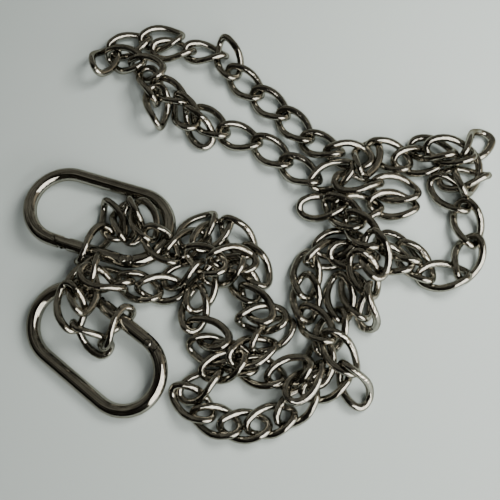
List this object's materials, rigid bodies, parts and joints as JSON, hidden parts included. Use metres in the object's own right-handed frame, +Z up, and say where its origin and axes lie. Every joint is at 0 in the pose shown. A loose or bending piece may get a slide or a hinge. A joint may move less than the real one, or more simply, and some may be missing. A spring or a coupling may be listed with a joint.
{
  "type": "chain with snap rings",
  "caption": "Loose heap of plated curb chain made of round wire links, its two ends hooked on oval snap rings with sprung hinged gates.",
  "frame": {"origin": "on the floor under the middle of the heap's bounding box", "axes": "+X along the picture's right, +Y away from the viewer, +Z up from the floor"},
  "size_m": [0.1484, 0.137, 0.015],
  "materials": {
    "chain_wire": "bright nickel plate on steel wire, slightly warm",
    "ring_wire": "bright nickel plate, smooth",
    "gate_bar": "bright nickel plate, smooth",
    "rivet": "bright nickel plate, domed head"
  },
  "bodies": {
    "chain_and_rings": {"links_001_002": "chain_wire", "links_003_004": "chain_wire", "links_005_006": "chain_wire", "links_007_008": "chain_wire", "links_009_010": "chain_wire", "links_011_012": "chain_wire", "links_013_014": "chain_wire", "links_015_016": "chain_wire", "links_017_018": "chain_wire", "links_019_020": "chain_wire", "links_021_022": "chain_wire", "links_023_024": "chain_wire", "links_025_026": "chain_wire", "links_027_028": "chain_wire", "links_029_030": "chain_wire", "links_031_032": "chain_wire", "links_033_034": "chain_wire", "links_035_036": "chain_wire", "links_037_038": "chain_wire", "links_039_040": "chain_wire", "links_041_042": "chain_wire", "links_043_044": "chain_wire", "links_045_046": "chain_wire", "links_047_048": "chain_wire", "links_049_050": "chain_wire", "links_051_052": "chain_wire", "links_053_054": "chain_wire", "links_055_056": "chain_wire", "links_057_058": "chain_wire", "links_059_060": "chain_wire", "links_061_062": "chain_wire", "links_063_064": "chain_wire", "links_065_066": "chain_wire", "links_067_068": "chain_wire", "links_069_070": "chain_wire", "links_071_072": "chain_wire", "links_073_074": "chain_wire", "links_075_076": "chain_wire", "links_077_078": "chain_wire", "links_079_080": "chain_wire", "links_081_082": "chain_wire", "links_083_084": "chain_wire", "links_085_086": "chain_wire", "links_087_088": "chain_wire", "links_089_090": "chain_wire", "links_091_092": "chain_wire", "links_093_094": "chain_wire", "links_095_096": "chain_wire", "links_097_098": "chain_wire", "links_099_100": "chain_wire", "links_101_102": "chain_wire", "links_103_104": "chain_wire", "links_105": "chain_wire", "lower_ring_body": "ring_wire", "lower_ring_rivet": "rivet", "upper_ring_body": "ring_wire", "upper_ring_rivet": "rivet"},
    "upper_gate": {"upper_ring_gate": "gate_bar"},
    "lower_gate": {"lower_ring_gate": "gate_bar"}
  },
  "joints": [
    {"name": "upper_gate_hinge", "type": "hinge", "parent": "chain_and_rings", "child": "upper_gate", "pos_m": [-0.04097, -0.01441, 0.00455], "axis": [-0.0814, -0.0838, -0.9932], "range_deg": [0, 18], "stiffness_Nm_per_rad": 0.02, "springref_deg": -4.58},
    {"name": "lower_gate_hinge", "type": "hinge", "parent": "chain_and_rings", "child": "lower_gate", "pos_m": [-0.03156, -0.03989, 0.0052], "axis": [-0.0853, -0.11, 0.9903], "range_deg": [0, 18], "stiffness_Nm_per_rad": 0.02, "springref_deg": -4.58}
  ]
}
